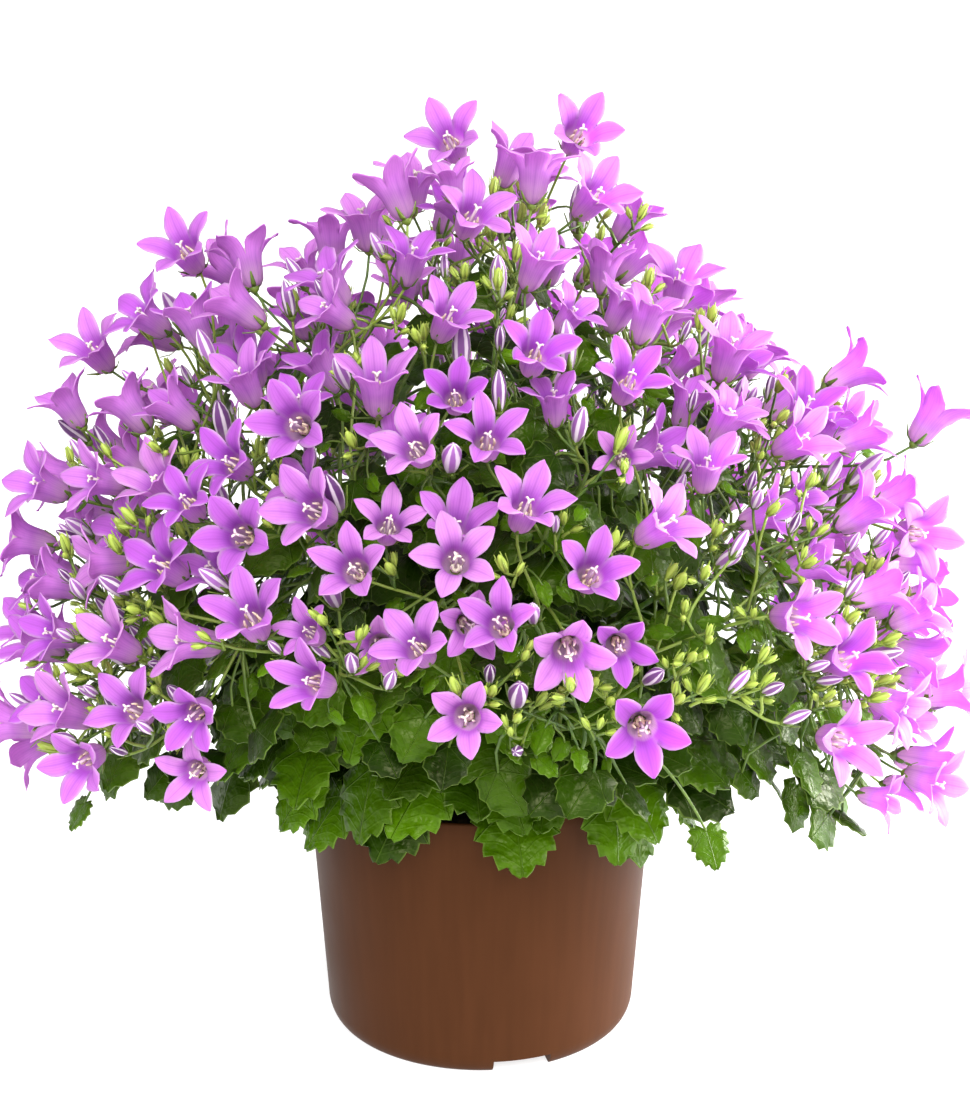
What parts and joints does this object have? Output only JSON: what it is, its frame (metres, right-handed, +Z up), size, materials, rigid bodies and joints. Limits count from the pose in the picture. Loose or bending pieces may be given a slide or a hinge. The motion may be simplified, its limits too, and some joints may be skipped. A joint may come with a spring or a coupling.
{
  "type": "potted dalmatian bellflower",
  "caption": "Low dome of violet five-lobed bell flowers, buds and toothed leaves, growing from soil in a round brown nursery pot.",
  "frame": {"origin": "middle of the pot's foot, on the surface it stands on", "axes": "+Z up, front towards -Y, +X to the right seen from the front"},
  "size_m": [0.3376, 0.3005, 0.3204],
  "materials": {
    "pot": "semi-matte brown moulded plastic with fine upright streaks",
    "soil": "dark damp peat, crumbly",
    "foliage": "satin green leaves with lighter veins, on thin green stems",
    "blossom": "matte violet petals, paler in the throat, on green stalks"
  },
  "bodies": {
    "root": {"pot": "pot", "soil": "soil", "leafy_stem_01": "foliage", "flower_spray_01": "blossom", "leafy_stem_02": "foliage", "flower_spray_02": "blossom", "leafy_stem_03": "foliage", "flower_spray_03": "blossom", "leafy_stem_04": "foliage", "flower_spray_04": "blossom", "leafy_stem_05": "foliage", "flower_spray_05": "blossom", "leafy_stem_06": "foliage", "flower_spray_06": "blossom", "leafy_stem_07": "foliage", "flower_spray_07": "blossom", "leafy_stem_08": "foliage", "flower_spray_08": "blossom", "leafy_stem_09": "foliage", "flower_spray_09": "blossom", "leafy_stem_10": "foliage", "flower_spray_10": "blossom", "leafy_stem_11": "foliage", "flower_spray_11": "blossom", "leafy_stem_12": "foliage", "flower_spray_12": "blossom", "leafy_stem_13": "foliage", "flower_spray_13": "blossom", "leafy_stem_14": "foliage", "flower_spray_14": "blossom", "leafy_stem_15": "foliage", "flower_spray_15": "blossom", "leafy_stem_16": "foliage", "flower_spray_16": "blossom", "leafy_stem_17": "foliage", "flower_spray_17": "blossom", "leafy_stem_18": "foliage", "flower_spray_18": "blossom", "leafy_stem_19": "foliage", "flower_spray_19": "blossom", "leafy_stem_20": "foliage", "flower_spray_20": "blossom", "leafy_stem_21": "foliage", "flower_spray_21": "blossom", "leafy_stem_22": "foliage", "flower_spray_22": "blossom", "leafy_stem_23": "foliage", "flower_spray_23": "blossom", "leafy_stem_24": "foliage", "flower_spray_24": "blossom"}
  },
  "joints": []
}
